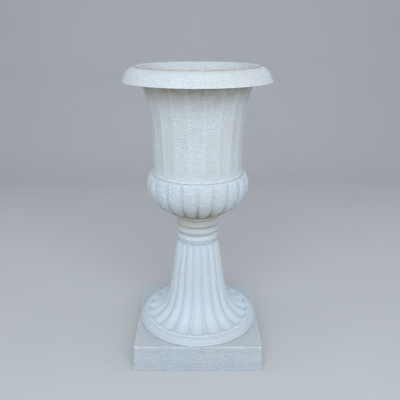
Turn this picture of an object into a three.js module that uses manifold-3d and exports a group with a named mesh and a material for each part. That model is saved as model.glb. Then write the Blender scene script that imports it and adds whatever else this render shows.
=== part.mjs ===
// Campana urn planter on a square pedestal, in millimetres, +Z up.
// The origin is the centre of the plinth's underside. The front faces -Y.
// From the floor up: plinth, fluted stem, collar, gadrooned bowl and a lift-out fluted cup.
// One coach bolt clamps bowl, collar and stem, and four screws hold the stem to the plinth.
import * as THREE from 'three';
import { mergeVertices } from 'three/addons/utils/BufferGeometryUtils.js';
import Module from 'manifold-3d';

const wasm = await Module();
wasm.setup();

// ---- Driving dimensions -------------------------------------------------------------------
const HEIGHT = 800;
const RIM_RADIUS = 193.7;
const WALL = 4;
const GAP = 0.3;
const COLUMNS = 3;

// ---- Plinth -------------------------------------------------------------------------------
const PLINTH_SIDE = 360;
const PLINTH_TOP_SIDE = 349;
const PLINTH_HEIGHT = 72;
const PLINTH_WALL = 5;
const PLINTH_CORNER = 7;
const PLINTH_EDGE = 3;
const ACCESS_RADIUS = 110;
const ACCESS_RING_DEPTH = 36;

// ---- Stem ---------------------------------------------------------------------------------
const STEM_BOTTOM = PLINTH_HEIGHT + GAP;
const STEM_TOP = 323;
const STEM_TOP_RADIUS = 57.3;
const FOOT_RADIUS = 172.5;
const CREST_RADIUS = 151.2;
const CREST_HEIGHT = 92.6;
const STEM_FLUTES = 20;
const STEM_FLUTE_DEPTH = 4.4;
const FLARE_FLUTE_DEPTH = 6.2;
const FOOT_EDGE = 4;
const FOOT_BAND_WIDTH = 16.5;
const FOOT_BAND_HEIGHT = 13;
const STEM_WEB = 8;
const SOCKET_RADIUS = 47;
const SOCKET_DEPTH = 8;
const STEM_CEILING = STEM_TOP - SOCKET_DEPTH - STEM_WEB;

// ---- Collar -------------------------------------------------------------------------------
const COLLAR_BOTTOM = STEM_TOP + GAP;
const COLLAR_TOP = 403;
const RING_HEIGHT = 24.2;
const LOWER_RING_RADIUS = 58.8;
const UPPER_RING_RADIUS = 60.2;
const RING_BULGE = 8;
const NECK_RADIUS = 59.6;
const BEAD_RADIUS = 63.2;
const BEAD_HEIGHT = 9;
const BEAD_BULGE = 3;
const COLLAR_BORE = 46;
const COLLAR_WEB = 6;
const COLLAR_RECESS_RADIUS = 52;
const COLLAR_RECESS_DEPTH = 11;

// ---- Bowl ---------------------------------------------------------------------------------
const BOWL_BOTTOM = COLLAR_TOP + GAP;
const BOWL_RADIUS = 139.9;
const BOWL_WAIST = 488.6;
const BOWL_UNDER_HEIGHT = 96;
const BOWL_SHOULDER_HEIGHT = 30.8;
const BOWL_CREST_RADIUS = 126;
const BOWL_LIP_RADIUS = 121.5;
const BOWL_LOBES = 20;
const LOBE_DEPTH = 6;
const BOWL_FLOOR = 411;
const SEAT_RADIUS = 66;
const SEAT_SLOT = 12;

// ---- Cup ----------------------------------------------------------------------------------
const CUP_BOTTOM = 446;
const CUP_FLOOR_RADIUS = 84;
const CUP_RADIUS = 119.8;
const CUP_FLUTES = 20;
const CUP_FLUTE_PHASE = THREE.MathUtils.degToRad(8);
const CUP_FLUTE_DEPTH = 2.4;
const FLANGE_RADIUS = 123.8;
const FLANGE_HEIGHT = 6;
const LIP_HEIGHT = 762;
const LIP_THICKNESS = 3.5;
const OVOLO_INNER_RADIUS = 159.4;
const OVOLO_HEIGHT = 35;
const MOUTH_RADIUS = 151;
const DRAIN_RADIUS = 9.5;
const PLUG_FLANGE_RADIUS = 14;
const PLUG_GRIP_RADIUS = 8;

// ---- Fasteners ----------------------------------------------------------------------------
const BOLT_RADIUS = 5;
const BOLT_HOLE = BOLT_RADIUS + 0.6;
const BOLT_HEAD_RADIUS = 11;
const BOLT_HEAD_HEIGHT = 5;
const WASHER_THICKNESS = 2;
const HEAD_WASHER_RADIUS = 15;
const NUT_WASHER_RADIUS = 18;
const SEAL_RADIUS = 17;
const SEAL_THICKNESS = 2.5;
const WING_NUT_HEIGHT = 10;
const WING_NUT_RADIUS = 9.5;
const WING_REACH = 19;
const WING_DROP = 11;
const WING_ROUND = 6;
const WING_THICKNESS = 3;
const BOLT_TAIL = 12;
const WEEP_RADIUS = 4;
const WEEP_CIRCLE = 34;
const SCREW_CIRCLE = 135;
const SCREW_RADIUS = 2.2;
const SCREW_HOLE = SCREW_RADIUS + 0.4;
const SCREW_HEAD_RADIUS = 5;
const SCREW_HEAD_HEIGHT = 3.5;
const SCREW_LENGTH = 29;
const DRIVE_WIDTH = 4.4;
const SCREW_WASHER_THICKNESS = 1.2;
const BOSS_RADIUS = 9;
const BOSS_DEPTH = 12;
const STEM_BOSS_HEIGHT = 16;
const PILOT_DEPTH = 11;

// ---- Materials ----------------------------------------------------------------------------
const plastic = (colour) => new THREE.MeshStandardMaterial({ color: colour, roughness: 0.6, metalness: 0 });
const steel = () => new THREE.MeshStandardMaterial({ color: 0xb9bcc0, roughness: 0.35, metalness: 1 });
const rubber = () => new THREE.MeshStandardMaterial({ color: 0x26282a, roughness: 0.85, metalness: 0 });

// ---- Helpers ------------------------------------------------------------------------------
// A profile in (radius, height) from single [radius, height] points and runs of points.
function outline(...parts) {
  return parts.flatMap((part) => (part[0].isVector2 ? part : [new THREE.Vector2(...part)]));
}

// Points along an ellipse in the (radius, height) plane, between two angles in degrees.
function arc(centreR, centreZ, radiusR, radiusZ, from, to, steps) {
  const points = [];
  for (let i = 0; i <= steps; i += 1) {
    const angle = THREE.MathUtils.degToRad(from + ((to - from) * i) / steps);
    points.push(new THREE.Vector2(centreR + radiusR * Math.cos(angle), centreZ + radiusZ * Math.sin(angle)));
  }
  return points;
}

function manifold(geometry) {
  const bare = geometry.clone();
  bare.deleteAttribute('normal');
  bare.deleteAttribute('uv');
  const merged = mergeVertices(bare, 1e-4);
  const mesh = new wasm.Mesh({
    numProp: 3,
    vertProperties: new Float32Array(merged.attributes.position.array),
    triVerts: new Uint32Array(merged.index.array),
  });
  return new wasm.Manifold(mesh);
}

function geometryOf(solid) {
  const mesh = solid.getMesh();
  const geometry = new THREE.BufferGeometry();
  geometry.setAttribute('position', new THREE.BufferAttribute(mesh.vertProperties, 3));
  geometry.setIndex(new THREE.BufferAttribute(mesh.triVerts, 1));
  geometry.computeVertexNormals();
  return geometry;
}

// A turned solid about Z. The profile runs up the outside, and its ends lie on the axis,
// or it closes on itself.
function turned(points, segments) {
  return manifold(new THREE.LatheGeometry(points, segments).rotateX(Math.PI / 2));
}

// Unit normals of a profile, pointing away from the axis on an upward run.
function profileNormals(points) {
  return points.map((point, i) => {
    const before = points[Math.max(i - 1, 0)];
    const after = points[Math.min(i + 1, points.length - 1)];
    return new THREE.Vector2(after.y - before.y, before.x - after.x).normalize();
  });
}

const inset = (points, distance) => {
  const normals = profileNormals(points);
  return points.map((point, i) => point.clone().addScaledVector(normals[i], -distance));
};

// A turned solid whose surface is sunk along the profile's normal. depthAt(point, across)
// gives the sinking, where across runs from -1 to 1 over each of the repeats.
// Phase is the turn of the first arris or groove from the front, towards +X.
function carved(points, repeats, phase, depthAt) {
  const geometry = new THREE.LatheGeometry(points, repeats * COLUMNS);
  const normals = profileNormals(points);
  const position = geometry.attributes.position;
  for (let i = 0; i < position.count; i += 1) {
    const row = i % points.length;
    const column = Math.floor(i / points.length);
    const across = (2 * (column % COLUMNS)) / COLUMNS - 1;
    const depth = depthAt(points[row], across);
    const angle = phase + (column * 2 * Math.PI) / (repeats * COLUMNS);
    const radius = points[row].x - depth * normals[row].x;
    position.setXYZ(
      i,
      radius * Math.sin(angle),
      points[row].y - depth * normals[row].y,
      radius * Math.cos(angle),
    );
  }
  return manifold(geometry.rotateX(Math.PI / 2));
}

// A cylinder standing on height `bottom`, at a place on the plan.
function post(radius, bottom, top, x = 0, y = 0, sides = 16) {
  const geometry = new THREE.CylinderGeometry(radius, radius, top - bottom, sides);
  geometry.rotateX(Math.PI / 2).translate(x, y, (top + bottom) / 2);
  return manifold(geometry);
}

function block(x, y, bottom, top) {
  return manifold(new THREE.BoxGeometry(x, y, top - bottom).translate(0, 0, (top + bottom) / 2));
}

function ring(inner, outer, bottom, top, sides) {
  return post(outer, bottom, top, 0, 0, sides).subtract(post(inner, bottom - 1, top + 1, 0, 0, sides));
}

// Places on a circle, starting a given angle from +X.
function onCircle(radius, count, first) {
  return Array.from({ length: count }, (_, i) => {
    const angle = first + (i * 2 * Math.PI) / count;
    return [radius * Math.cos(angle), radius * Math.sin(angle)];
  });
}

const weepPlaces = onCircle(WEEP_CIRCLE, 4, 0);
const screwPlaces = onCircle(SCREW_CIRCLE, 4, Math.PI / 4);

// The bolt hole and the four weep holes that pass through every clamped floor.
function drilled(solid, bottom, top) {
  let result = solid.subtract(post(BOLT_HOLE, bottom, top));
  for (const [x, y] of weepPlaces) {
    result = result.subtract(post(WEEP_RADIUS, bottom, top, x, y, 8));
  }
  return result;
}

const smooth = (value, from, to) => THREE.MathUtils.smoothstep(value, from, to);

// ---- Plinth -------------------------------------------------------------------------------
function squareOutline(side, corner) {
  const half = side / 2;
  const shape = new THREE.Shape();
  shape.absarc(half - corner, half - corner, corner, 0, Math.PI / 2);
  shape.absarc(corner - half, half - corner, corner, Math.PI / 2, Math.PI);
  shape.absarc(corner - half, corner - half, corner, Math.PI, 1.5 * Math.PI);
  shape.absarc(half - corner, corner - half, corner, 1.5 * Math.PI, 2 * Math.PI);
  shape.closePath();
  return shape;
}

// A block with rounded corners that tapers from `side` at the bottom to `topSide`.
function taperedBlock(side, topSide, corner, bottom, top) {
  const geometry = new THREE.ExtrudeGeometry(squareOutline(side, corner), {
    depth: top - bottom,
    bevelEnabled: false,
    curveSegments: 4,
  });
  const position = geometry.attributes.position;
  for (let i = 0; i < position.count; i += 1) {
    const raised = position.getZ(i) > (top - bottom) / 2;
    const scale = raised ? topSide / side : 1;
    position.setXYZ(i, position.getX(i) * scale, position.getY(i) * scale, position.getZ(i) + bottom);
  }
  return manifold(geometry);
}

function plinth() {
  const taper = (PLINTH_SIDE - PLINTH_TOP_SIDE) / PLINTH_HEIGHT;
  const shoulder = PLINTH_HEIGHT - PLINTH_EDGE;
  const sideAt = (height) => PLINTH_SIDE - taper * height;
  const topSide = PLINTH_TOP_SIDE - 2 * PLINTH_EDGE;
  let solid = taperedBlock(PLINTH_SIDE, sideAt(shoulder), PLINTH_CORNER, 0, shoulder)
    .add(taperedBlock(sideAt(shoulder), topSide, PLINTH_CORNER, shoulder, PLINTH_HEIGHT));
  const ceiling = PLINTH_HEIGHT - PLINTH_WALL;
  const innerSide = PLINTH_SIDE - 2 * PLINTH_WALL;
  solid = solid.subtract(taperedBlock(innerSide, innerSide - taper * ceiling, PLINTH_CORNER, -GAP, ceiling));
  const ringBottom = PLINTH_HEIGHT - ACCESS_RING_DEPTH;
  solid = solid.add(ring(ACCESS_RADIUS, ACCESS_RADIUS + WALL, ringBottom, ceiling + 1, 32));
  for (const [x, y] of screwPlaces) {
    const angle = Math.atan2(y, x);
    const start = ACCESS_RADIUS + WALL / 2;
    const end = PLINTH_SIDE / Math.SQRT2 - PLINTH_WALL - PLINTH_CORNER;
    const rib = new THREE.BoxGeometry(end - start, WALL - 1, ceiling + 1 - ringBottom);
    rib.translate((start + end) / 2, 0, (ceiling + 1 + ringBottom) / 2).rotateZ(angle);
    solid = solid.add(manifold(rib));
    solid = solid.add(post(BOSS_RADIUS, ceiling - BOSS_DEPTH, ceiling + 1, x, y));
    solid = solid.subtract(post(BOSS_RADIUS, 0, ceiling - BOSS_DEPTH, x, y));
    solid = solid.subtract(post(SCREW_HOLE, 0, PLINTH_HEIGHT + 1, x, y, 8));
  }
  return solid.subtract(post(ACCESS_RADIUS, -1, PLINTH_HEIGHT + 1, 0, 0, 32));
}

// ---- Stem ---------------------------------------------------------------------------------
// The trumpet's arrises follow one cubic curve from the crest of the foot to the top.
function trumpet(steps) {
  const curve = new THREE.CubicBezierCurve(
    new THREE.Vector2(CREST_RADIUS, CREST_HEIGHT),
    new THREE.Vector2(70.3, 97.3),
    new THREE.Vector2(82, 196.6),
    new THREE.Vector2(STEM_TOP_RADIUS, STEM_TOP),
  );
  return curve.getPoints(steps);
}

function stemFluteDepth(point, across) {
  const start = smooth(CREST_RADIUS - point.x, 0, 12);
  const end = smooth(STEM_TOP - point.y, 0, 8);
  const flare = smooth(point.x, 80, 130);
  const full = THREE.MathUtils.lerp(STEM_FLUTE_DEPTH, FLARE_FLUTE_DEPTH, flare);
  return point.y < CREST_HEIGHT ? 0 : full * start * end * (1 - across * across);
}

function stem() {
  const foot = outline(
    [FOOT_RADIUS, STEM_BOTTOM],
    [FOOT_RADIUS, STEM_BOTTOM + FOOT_EDGE],
    arc(CREST_RADIUS + 3, STEM_BOTTOM + FOOT_EDGE + 1, FOOT_BAND_WIDTH, FOOT_BAND_HEIGHT, 0, 90, 3),
    [CREST_RADIUS + 2, CREST_HEIGHT - 0.6],
  );
  const sides = trumpet(9);
  const outside = outline([0, STEM_BOTTOM], foot, sides, [0, STEM_TOP]);
  const innerTrumpet = inset(trumpet(7), FLARE_FLUTE_DEPTH + WALL);
  const hollowSides = innerTrumpet.filter((point) => point.y < STEM_CEILING);
  const hollow = outline(
    [0, STEM_BOTTOM - 1],
    [FOOT_RADIUS - 2 * WALL, STEM_BOTTOM - 1],
    [FOOT_RADIUS - 2.5 * WALL, STEM_BOTTOM + WALL],
    hollowSides,
    [hollowSides.at(-1).x, STEM_CEILING],
    [0, STEM_CEILING],
  );
  let solid = carved(outside, STEM_FLUTES, Math.PI / STEM_FLUTES, stemFluteDepth)
    .subtract(turned(hollow, 36))
    .subtract(post(SOCKET_RADIUS, STEM_TOP - SOCKET_DEPTH, STEM_TOP + 1, 0, 0, 36));
  for (const [x, y] of screwPlaces) {
    solid = solid.add(post(BOSS_RADIUS, STEM_BOTTOM, STEM_BOTTOM + STEM_BOSS_HEIGHT, x, y));
    solid = solid.subtract(post(SCREW_HOLE, STEM_BOTTOM - 1, STEM_BOTTOM + PILOT_DEPTH, x, y, 8));
  }
  return drilled(solid, STEM_CEILING - 1, STEM_TOP + 1);
}

// ---- Collar -------------------------------------------------------------------------------
function collar() {
  const ringFace = (radius, bottom) => arc(
    radius - RING_BULGE, bottom + RING_HEIGHT / 2, RING_BULGE, RING_HEIGHT / 2, -90, 90, 4,
  );
  const neckBottom = COLLAR_BOTTOM + 2 * RING_HEIGHT;
  const neckTop = COLLAR_TOP - BEAD_HEIGHT;
  const webTop = COLLAR_TOP - COLLAR_RECESS_DEPTH;
  const spigot = SOCKET_RADIUS - 0.4;
  const spigotBottom = STEM_TOP - SOCKET_DEPTH + 0.4;
  const outside = outline(
    [0, spigotBottom],
    [spigot, spigotBottom],
    [spigot, COLLAR_BOTTOM],
    ringFace(LOWER_RING_RADIUS, COLLAR_BOTTOM),
    ringFace(UPPER_RING_RADIUS, COLLAR_BOTTOM + RING_HEIGHT),
    [NECK_RADIUS, neckBottom + 1],
    [NECK_RADIUS - 0.8, (neckBottom + neckTop) / 2],
    [NECK_RADIUS + 1, neckTop],
    arc(BEAD_RADIUS - BEAD_BULGE, COLLAR_TOP - BEAD_HEIGHT / 2, BEAD_BULGE, BEAD_HEIGHT / 2, -60, 90, 3),
    [0, COLLAR_TOP],
  );
  const bore = outline(
    [0, spigotBottom - 1],
    [spigot - WALL, spigotBottom - 1],
    [spigot - WALL, COLLAR_BOTTOM],
    [COLLAR_BORE, COLLAR_BOTTOM + WALL],
    [COLLAR_BORE, webTop - COLLAR_WEB],
    [0, webTop - COLLAR_WEB],
  );
  const solid = turned(outside, 36)
    .subtract(turned(bore, 24))
    .subtract(post(COLLAR_RECESS_RADIUS, webTop, COLLAR_TOP + 1, 0, 0, 24));
  return drilled(solid, webTop - COLLAR_WEB - 1, webTop + 1);
}

// ---- Bowl ---------------------------------------------------------------------------------
function lobeDepth(point, across) {
  const crest = BOWL_WAIST + BOWL_SHOULDER_HEIGHT;
  const towardsCrest = smooth(crest - point.y, -2, 22);
  const towardsCollar = smooth(point.x, BEAD_RADIUS + 1, 92);
  const depth = LOBE_DEPTH * (0.35 + 0.65 * towardsCrest) * (0.4 + 0.6 * towardsCollar);
  const lip = point.x < BOWL_CREST_RADIUS - 1 && point.y > BOWL_WAIST;
  return point.x < BEAD_RADIUS || lip ? 0 : depth * across * across;
}

function bowl() {
  const underside = (radiusR, radiusZ, floor, steps) => {
    const first = -THREE.MathUtils.radToDeg(Math.asin((BOWL_WAIST - floor) / radiusZ));
    return arc(0, BOWL_WAIST, radiusR, radiusZ, first, 0, steps);
  };
  const crest = BOWL_WAIST + BOWL_SHOULDER_HEIGHT;
  const shoulderDepth = BOWL_RADIUS - BOWL_CREST_RADIUS;
  const shoulder = arc(BOWL_CREST_RADIUS, BOWL_WAIST, shoulderDepth, BOWL_SHOULDER_HEIGHT, 25, 90, 3);
  const outside = outline(
    [0, BOWL_BOTTOM],
    [BEAD_RADIUS - 1, BOWL_BOTTOM],
    underside(BOWL_RADIUS, BOWL_UNDER_HEIGHT, BOWL_BOTTOM, 6),
    shoulder,
    [BOWL_LIP_RADIUS + 1.5, crest - 2],
    [BOWL_LIP_RADIUS - 1, crest - 8],
    [0, crest - 8],
  );
  const innerRadius = BOWL_RADIUS - LOBE_DEPTH - WALL - 2;
  const inside = outline(
    [0, BOWL_FLOOR],
    underside(innerRadius, BOWL_UNDER_HEIGHT - 14, BOWL_FLOOR, 4),
    [BOWL_LIP_RADIUS + 2, crest - 20],
    [BOWL_LIP_RADIUS, crest - 10],
    [BOWL_LIP_RADIUS, crest + 1],
    [0, crest + 1],
  );
  const spigot = COLLAR_RECESS_RADIUS - 0.4;
  const spigotBottom = COLLAR_TOP - COLLAR_RECESS_DEPTH + 0.4;
  let solid = carved(outside, BOWL_LOBES, 0, lobeDepth)
    .subtract(turned(inside, 36))
    .add(ring(spigot - WALL, spigot, spigotBottom, BOWL_BOTTOM + 1, 24))
    .add(ring(SEAT_RADIUS - WALL, SEAT_RADIUS, BOWL_FLOOR - 2, CUP_BOTTOM - GAP, 24));
  solid = solid
    .subtract(block(2 * SEAT_RADIUS + 2, SEAT_SLOT, BOWL_FLOOR, BOWL_FLOOR + SEAT_SLOT))
    .subtract(block(SEAT_SLOT, 2 * SEAT_RADIUS + 2, BOWL_FLOOR, BOWL_FLOOR + SEAT_SLOT));
  return drilled(solid, BOWL_BOTTOM - 1, BOWL_FLOOR + 1);
}

// ---- Cup ----------------------------------------------------------------------------------
// The bell's outer side, from where it leaves the bowl up to the underside of the rim.
function bell(steps) {
  const curve = new THREE.SplineCurve(outline(
    [CUP_RADIUS - 2.6, 500],
    [CUP_RADIUS, 541],
    [CUP_RADIUS + 0.8, 610],
    [CUP_RADIUS + 6.4, 682],
    [CUP_RADIUS + 17.5, 732],
    [OVOLO_INNER_RADIUS - 3, 790],
  ));
  return curve.getPoints(steps);
}

function cupFluteDepth(point, across) {
  const start = smooth(point.y, 508, 530);
  const onBell = point.x > CUP_RADIUS - 5;
  return onBell ? CUP_FLUTE_DEPTH * start * (1 - across * across) : 0;
}

// The rim's outer face, or one parallel to it inside the rim: steep at the lip and flat at the top.
function ovolo(depth, steps) {
  const top = LIP_HEIGHT + OVOLO_HEIGHT - depth;
  const width = RIM_RADIUS - OVOLO_INNER_RADIUS;
  const curve = new THREE.CubicBezierCurve(
    new THREE.Vector2(RIM_RADIUS - depth, LIP_HEIGHT),
    new THREE.Vector2(RIM_RADIUS - 0.21 * width - depth, (LIP_HEIGHT + top) / 2),
    new THREE.Vector2(RIM_RADIUS - 0.4 * width - depth, top),
    new THREE.Vector2(OVOLO_INNER_RADIUS, top),
  );
  return curve.getPoints(steps);
}

// A small flange that covers the joint between the cup and the crest of the bowl.
function flange() {
  const bottom = BOWL_WAIST + BOWL_SHOULDER_HEIGHT + GAP;
  const profile = outline(
    [CUP_RADIUS - 5, bottom],
    [FLANGE_RADIUS, bottom],
    [FLANGE_RADIUS, bottom + 1],
    [CUP_RADIUS - 0.6, bottom + FLANGE_HEIGHT],
    [CUP_RADIUS - 5, bottom + FLANGE_HEIGHT],
    [CUP_RADIUS - 5, bottom],
  );
  return turned(profile, CUP_FLUTES * COLUMNS);
}

function cup() {
  const heel = arc(CUP_FLOOR_RADIUS, CUP_BOTTOM + 30, CUP_RADIUS - 6 - CUP_FLOOR_RADIUS, 30, -90, -15, 3);
  const outside = outline(
    [0, CUP_BOTTOM],
    heel,
    bell(8),
    [OVOLO_INNER_RADIUS - 3, HEIGHT - 1],
    [0, HEIGHT - 1],
  );
  const innerHeel = inset(heel, WALL).filter((point) => point.x > 0);
  const hollow = outline(
    [0, CUP_BOTTOM + WALL],
    innerHeel,
    inset(bell(6), CUP_FLUTE_DEPTH + WALL).slice(0, -1),
    [MOUTH_RADIUS - 3, HEIGHT - 8],
    [MOUTH_RADIUS, HEIGHT + 1],
    [0, HEIGHT + 1],
  );
  const beadBottom = LIP_HEIGHT + OVOLO_HEIGHT;
  const rim = outline(
    [MOUTH_RADIUS - 1, beadBottom - LIP_THICKNESS - 1.5],
    ovolo(LIP_THICKNESS, 4).reverse(),
    ovolo(0, 5),
    [OVOLO_INNER_RADIUS - 1.5, HEIGHT - 0.8],
    [OVOLO_INNER_RADIUS - 3.5, HEIGHT],
    [MOUTH_RADIUS, HEIGHT],
    [MOUTH_RADIUS - 1, HEIGHT - 1],
    [MOUTH_RADIUS - 1, beadBottom - LIP_THICKNESS - 1.5],
  );
  return carved(outside, CUP_FLUTES, CUP_FLUTE_PHASE, cupFluteDepth)
    .subtract(turned(hollow, 36))
    .add(turned(rim, 48))
    .add(flange())
    .subtract(post(DRAIN_RADIUS, CUP_BOTTOM - 1, CUP_BOTTOM + WALL + 1));
}

function drainPlug() {
  const seat = CUP_BOTTOM + WALL + GAP;
  const shank = DRAIN_RADIUS - 0.5;
  const body = outline(
    [0, CUP_BOTTOM - 6],
    [shank - 2, CUP_BOTTOM - 6],
    [shank, CUP_BOTTOM - 2],
    [shank, seat],
    [PLUG_FLANGE_RADIUS, seat],
    [PLUG_FLANGE_RADIUS, seat + 2],
    [PLUG_FLANGE_RADIUS - 1.5, seat + 3.2],
    [0, seat + 3.2],
  );
  const bar = new THREE.CylinderGeometry(PLUG_GRIP_RADIUS, PLUG_GRIP_RADIUS, 3, 20);
  const grip = manifold(bar.translate(0, 0, seat + PLUG_GRIP_RADIUS - 2));
  const below = block(40, 40, seat - 20, seat + 1);
  return turned(body, 24).add(grip.subtract(below));
}

// ---- Clamp bolt and its washers -----------------------------------------------------------
const sealTop = BOWL_FLOOR + GAP + SEAL_THICKNESS;
const headSeat = sealTop + GAP + WASHER_THICKNESS + GAP;
const nutTop = STEM_CEILING - GAP - WASHER_THICKNESS - GAP;

function tieBolt() {
  const end = nutTop - WING_NUT_HEIGHT - BOLT_TAIL;
  const profile = outline(
    [0, end],
    [BOLT_RADIUS - 1, end],
    [BOLT_RADIUS, end + 1],
    [BOLT_RADIUS, headSeat],
    [BOLT_HEAD_RADIUS, headSeat],
    arc(0, headSeat + 1, BOLT_HEAD_RADIUS, BOLT_HEAD_HEIGHT - 1, 0, 90, 5),
  );
  return turned(profile, 16);
}

function washer(outer, inner, bottom, thickness) {
  return ring(inner, outer, bottom, bottom + thickness, 16);
}

function wingNut() {
  const bottom = nutTop - WING_NUT_HEIGHT;
  const hub = outline(
    [0, bottom],
    [WING_NUT_RADIUS - 3, bottom],
    [WING_NUT_RADIUS, nutTop - 2],
    [WING_NUT_RADIUS, nutTop],
    [0, nutTop],
  );
  const wing = new THREE.Shape();
  wing.moveTo(5.5, nutTop - 1);
  wing.lineTo(12, nutTop - 3);
  wing.absarc(WING_REACH, nutTop - WING_DROP, WING_ROUND, 0.6 * Math.PI, -0.7 * Math.PI, true);
  wing.lineTo(5.8, nutTop - 9);
  wing.closePath();
  const blade = new THREE.ExtrudeGeometry(wing, {
    depth: WING_THICKNESS,
    bevelEnabled: false,
    curveSegments: 10,
  });
  blade.translate(0, 0, -WING_THICKNESS / 2).rotateX(Math.PI / 2);
  const bladePair = manifold(blade).add(manifold(blade.clone().rotateZ(Math.PI)));
  const bore = post(BOLT_RADIUS + 0.4, bottom - WING_DROP, nutTop + 1, 0, 0, 24);
  return turned(hub, 24).add(bladePair).subtract(bore);
}

// ---- Plinth screws ------------------------------------------------------------------------
const bossFace = PLINTH_HEIGHT - PLINTH_WALL - BOSS_DEPTH;
const washerBottom = bossFace - GAP - SCREW_WASHER_THICKNESS;

function plinthScrew(x, y) {
  const seat = washerBottom - GAP;
  const tip = seat + SCREW_LENGTH;
  const profile = outline(
    arc(0, seat, SCREW_HEAD_RADIUS, SCREW_HEAD_HEIGHT, -90, 0, 3),
    [SCREW_RADIUS, seat],
    [SCREW_RADIUS, tip - 3],
    [0, tip],
  );
  const slot = new THREE.BoxGeometry(DRIVE_WIDTH, 1, 3);
  const crossSlot = new THREE.BoxGeometry(1, DRIVE_WIDTH, 3);
  return [slot, crossSlot]
    .map((cut) => manifold(cut.translate(0, 0, seat - SCREW_HEAD_HEIGHT)))
    .reduce((screw, cut) => screw.subtract(cut), turned(profile, 12))
    .translate([x, y, 0]);
}

// ---- Assembly -----------------------------------------------------------------------------
const urn = new THREE.Group();

function place(name, solid, material) {
  const mesh = new THREE.Mesh(geometryOf(solid), material);
  mesh.name = name;
  urn.add(mesh);
}

place('plinth', plinth(), plastic(0xd9dee4));
place('stem', stem(), plastic(0xd3d9df));
place('collar', collar(), plastic(0xd6dbe0));
place('bowl', bowl(), plastic(0xd6dbe1));
place('cup', cup(), plastic(0xd8dde3));
place('drain_plug', drainPlug(), rubber());
place('tie_bolt', tieBolt(), steel());
place('bolt_washer', washer(HEAD_WASHER_RADIUS, BOLT_HOLE, sealTop + GAP, WASHER_THICKNESS), steel());
place('bolt_seal', washer(SEAL_RADIUS, BOLT_HOLE, BOWL_FLOOR + GAP, SEAL_THICKNESS), rubber());
place('nut_washer', washer(NUT_WASHER_RADIUS, BOLT_HOLE, nutTop + GAP, WASHER_THICKNESS), steel());
place('wing_nut', wingNut(), steel());
screwPlaces.forEach(([x, y], i) => {
  const disc = washer(SCREW_HEAD_RADIUS + 1.5, SCREW_HOLE, washerBottom, SCREW_WASHER_THICKNESS);
  place(`plinth_screw_${i + 1}`, plinthScrew(x, y), steel());
  place(`screw_washer_${i + 1}`, disc.translate([x, y, 0]), steel());
});

export default urn;
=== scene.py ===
"""Looks of the pedestal urn planter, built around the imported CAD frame.

Lengths are in millimetres until a mesh is made. Profiles are (radius, height) points that run
up the outside of a piece, over its top and down its inside. Angle 0 is the front, -Y, and
angles grow towards +X.
"""

import math

import bpy
import numpy as np
from mathutils import Matrix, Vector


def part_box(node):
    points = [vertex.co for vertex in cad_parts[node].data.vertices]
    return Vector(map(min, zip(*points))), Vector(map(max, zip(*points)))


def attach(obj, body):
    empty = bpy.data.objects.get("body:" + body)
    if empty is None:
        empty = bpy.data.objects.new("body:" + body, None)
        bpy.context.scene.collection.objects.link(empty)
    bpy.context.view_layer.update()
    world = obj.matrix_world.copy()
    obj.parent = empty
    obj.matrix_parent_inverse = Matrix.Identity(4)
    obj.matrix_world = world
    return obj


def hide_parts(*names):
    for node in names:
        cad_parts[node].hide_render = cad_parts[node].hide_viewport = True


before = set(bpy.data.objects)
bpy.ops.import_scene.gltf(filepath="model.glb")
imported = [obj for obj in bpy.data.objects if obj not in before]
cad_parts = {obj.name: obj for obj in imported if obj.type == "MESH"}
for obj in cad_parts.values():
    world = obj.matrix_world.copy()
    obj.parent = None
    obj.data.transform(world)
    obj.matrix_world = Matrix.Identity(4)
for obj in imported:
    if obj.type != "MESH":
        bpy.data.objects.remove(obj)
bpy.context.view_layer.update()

MM = 0.001


def box_mm(node):
    """The lowest and highest corner of a CAD node, in millimetres."""
    low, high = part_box(node)
    return np.array(low) / MM, np.array(high) / MM


# ---- Sizes from the frame ----
PLINTH_HIGH = box_mm("plinth")[1]
STEM_LOW, STEM_HIGH = box_mm("stem")
COLLAR_LOW, COLLAR_HIGH = box_mm("collar")
BOWL_LOW, BOWL_HIGH = box_mm("bowl")
CUP_LOW, CUP_HIGH = box_mm("cup")
PLUG_LOW, PLUG_HIGH = box_mm("drain_plug")
BOLT_LOW, BOLT_HIGH = box_mm("tie_bolt")
NUT_LOW, NUT_HIGH = box_mm("wing_nut")

# ---- Clearances ----
GAP = 0.3
FLANGE_GAP = 0.05
SPIGOT_GAP = 0.4
SPIGOT_WALL = 4.0

# ---- Plinth ----
PLINTH_HALF = PLINTH_HIGH[0]
PLINTH_TOP = PLINTH_HIGH[2]
PLINTH_TOP_HALF = 174.5
PLINTH_WALL = 5.0
PLINTH_CORNER = 7.0
ACCESS_RADIUS = 110.0
ACCESS_RING_WALL = 4.0
ACCESS_RING_BOTTOM = PLINTH_TOP - 36
BOSS_RADIUS = 9.0
PLINTH_CEILING = PLINTH_TOP - PLINTH_WALL
BOSS_BOTTOM = PLINTH_CEILING - 12
GUSSET_WALL = 3.0

# ---- Stem ----
STEM_BOTTOM = STEM_LOW[2]
STEM_TOP = STEM_HIGH[2]
STEM_TOP_RADIUS = 57.3
FOOT_RADIUS = 172.5
CREST = (151.2, STEM_BOTTOM + 20.3)
STEM_FLUTES = 20
STEM_FLUTE_DEPTH = 5.4
FLARE_FLUTE_DEPTH = 7.2
SCOOP_LENGTH = 17.0
TOP_SCOOP_LENGTH = 6.0
STEM_WEB = 8.0
SOCKET_RADIUS = 47.0
SOCKET_FLOOR = STEM_TOP - 8

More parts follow.
